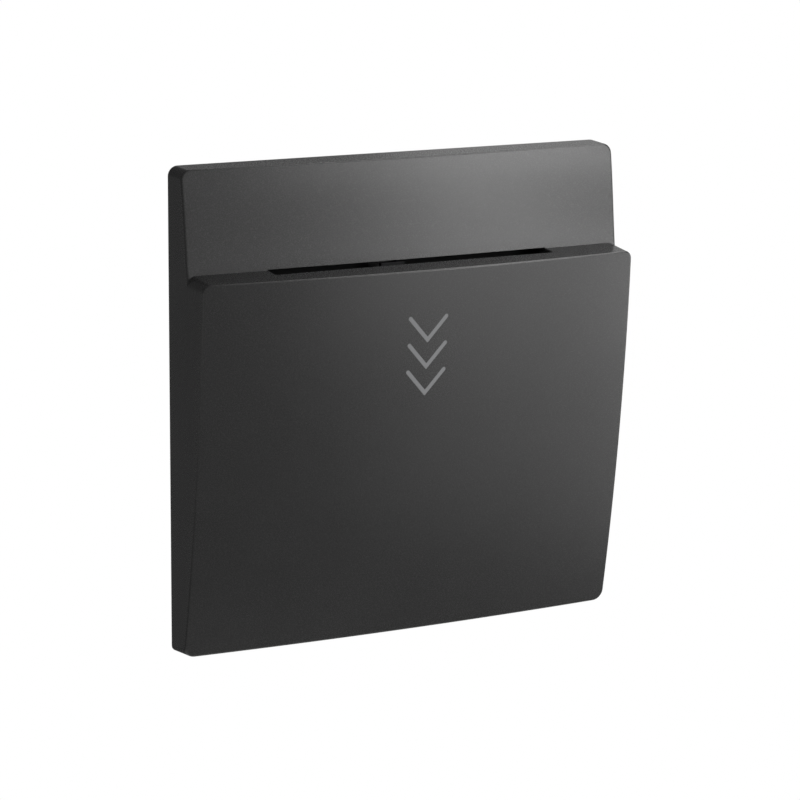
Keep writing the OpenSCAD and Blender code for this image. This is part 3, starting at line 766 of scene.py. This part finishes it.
# Camera, from the front left and a little above: its place and lens in millimetres, its range in metres
CAMERA_AT = (-260.191, -489.414, 115.614)
CAMERA_RIGHT = (0.88186, -0.47147, 0.00678)
CAMERA_UP = (0.09188, 0.18594, 0.97826)
CAMERA_BACK = (-0.46248, -0.86206, 0.20729)
FOCAL_LENGTH = 141.85
SENSOR_WIDTH = 36
NEAREST = 0.02
FARTHEST = 20
eye = bpy.data.cameras.new("camera")
eye.lens = FOCAL_LENGTH
eye.sensor_width = SENSOR_WIDTH
eye.clip_start = NEAREST
eye.clip_end = FARTHEST
camera = bpy.data.objects.new("camera", eye)
axes = Matrix((CAMERA_RIGHT, CAMERA_UP, CAMERA_BACK)).transposed().to_4x4()
camera.matrix_world = Matrix.Translation(Vector(CAMERA_AT) * MM) @ axes
bpy.context.scene.collection.objects.link(camera)
bpy.context.scene.camera = camera

# A pale round floor well below, in metres
FLOOR_Z = -0.6
FLOOR_R = 0.6
FLOOR_SIDES = 96
FLOOR_COLOUR = (0.8, 0.8, 0.79)


def floor_ring(r):
    return [Vector((r * math.cos(a), r * math.sin(a), FLOOR_Z)) for a in span(0, 360, FLOOR_SIDES)]


floor_mesh = Mesh()
for r0, r1 in ((0, FLOOR_R / 2), (FLOOR_R / 2, FLOOR_R)):
    floor_mesh.strip(floor_ring(r0), floor_ring(r1))
floor = floor_mesh.object("floor")
pale = material("floor_pale", FLOOR_COLOUR, rough=0.7, patch=0.02, patch_scale=6, grain=300)
floor.data.materials.append(pale)

# Soft lamps that face the object from one distance, most of them from the front right:
# azimuth and elevation in degrees, width and height in metres, and radiance
LAMP_DISTANCE = 1.2
LAMPS = {
    "strip_low": (32, 6, 0.147, 0.504, 8.3),
    "strip_high": (39, 18, 0.147, 0.504, 9.6),
    "strip_left": (25, 18, 0.147, 0.504, 3.8),
    "low": (35.5, -12, 0.588, 0.252, 2),
    "low_right": (53, -12, 0.147, 0.252, 7.5),
    "lower": (42.5, -24, 0.588, 0.252, 0.9),
    "lower_right": (53, -24, 0.147, 0.252, 2.4),
    "high": (46, 36, 0.147, 0.252, 7.5),
    "side": (75, 0, 0.4, 0.5, 4.5),
    "brow": (70, 55, 0.5, 0.5, 5.4),
    "crown": (110, 50, 0.5, 0.5, 3),
    "back": (150, 30, 0.5, 0.5, 0.45),
    "rim": (143, 14, 0.36, 0.35, 0.4),
    "front": (-30, -12, 1.2, 0.4, 0.6),
    "left": (-150, -12, 0.9, 0.6, 0.06),
    "flank": (-95, -12, 1, 0.4, 0.5),
}
for name, (azimuth, elevation, width, height, radiance) in LAMPS.items():
    data = bpy.data.lights.new(name, "AREA")
    data.shape = "RECTANGLE"
    data.size = width
    data.size_y = height
    data.energy = radiance * math.pi * width * height
    lamp = bpy.data.objects.new(name, data)
    a, e = math.radians(azimuth), math.radians(elevation)
    toward = Vector((math.sin(a) * math.cos(e), -math.cos(a) * math.cos(e), math.sin(e)))
    lamp.location = toward * LAMP_DISTANCE
    lamp.rotation_mode = "QUATERNION"
    lamp.rotation_quaternion = (-toward).to_track_quat("-Z", "Y")
    bpy.context.scene.collection.objects.link(lamp)

# White behind the object for the camera, and for gloss and glass that look that way; elsewhere a dim room
# for gloss and an even fill for the rest. The board values are cosines from the camera's axis, at which
# the white ends and is full.
FILL = 0.5
ROOM = 0.08
BOARD_EDGE = 0.95
BOARD_FULL = 0.985
world = bpy.data.worlds.new("studio")
bpy.context.scene.world = world
world.use_nodes = True
tree = world.node_tree
link = tree.links.new
ground = tree.nodes["Background"]
ground.inputs["Color"].default_value = (1, 1, 1, 1)
paths = tree.nodes.new("ShaderNodeLightPath")
where = tree.nodes.new("ShaderNodeTexCoord")
along = tree.nodes.new("ShaderNodeVectorMath")
along.operation = "DOT_PRODUCT"
along.inputs[1].default_value = -Vector(CAMERA_BACK)
link(where.outputs["Generated"], along.inputs[0])
board = add_node(tree, "ShaderNodeMapRange", From_Min=BOARD_EDGE, From_Max=BOARD_FULL,
                 To_Min=ROOM, To_Max=1)
board.interpolation_type = "SMOOTHSTEP"
link(along.outputs["Value"], board.inputs["Value"])


def larger(a, b):
    node = tree.nodes.new("ShaderNodeMath")
    node.operation = "MAXIMUM"
    link(a, node.inputs[0])
    link(b, node.inputs[1])
    return node.outputs[0]


mirrored = add_node(tree, "ShaderNodeMapRange", To_Min=FILL)
link(larger(paths.outputs["Is Glossy Ray"], paths.outputs["Is Transmission Ray"]), mirrored.inputs["Value"])
link(board.outputs["Result"], mirrored.inputs["To Max"])
link(larger(mirrored.outputs["Result"], paths.outputs["Is Camera Ray"]), ground.inputs["Strength"])

bpy.context.scene.view_settings.view_transform = "Standard"
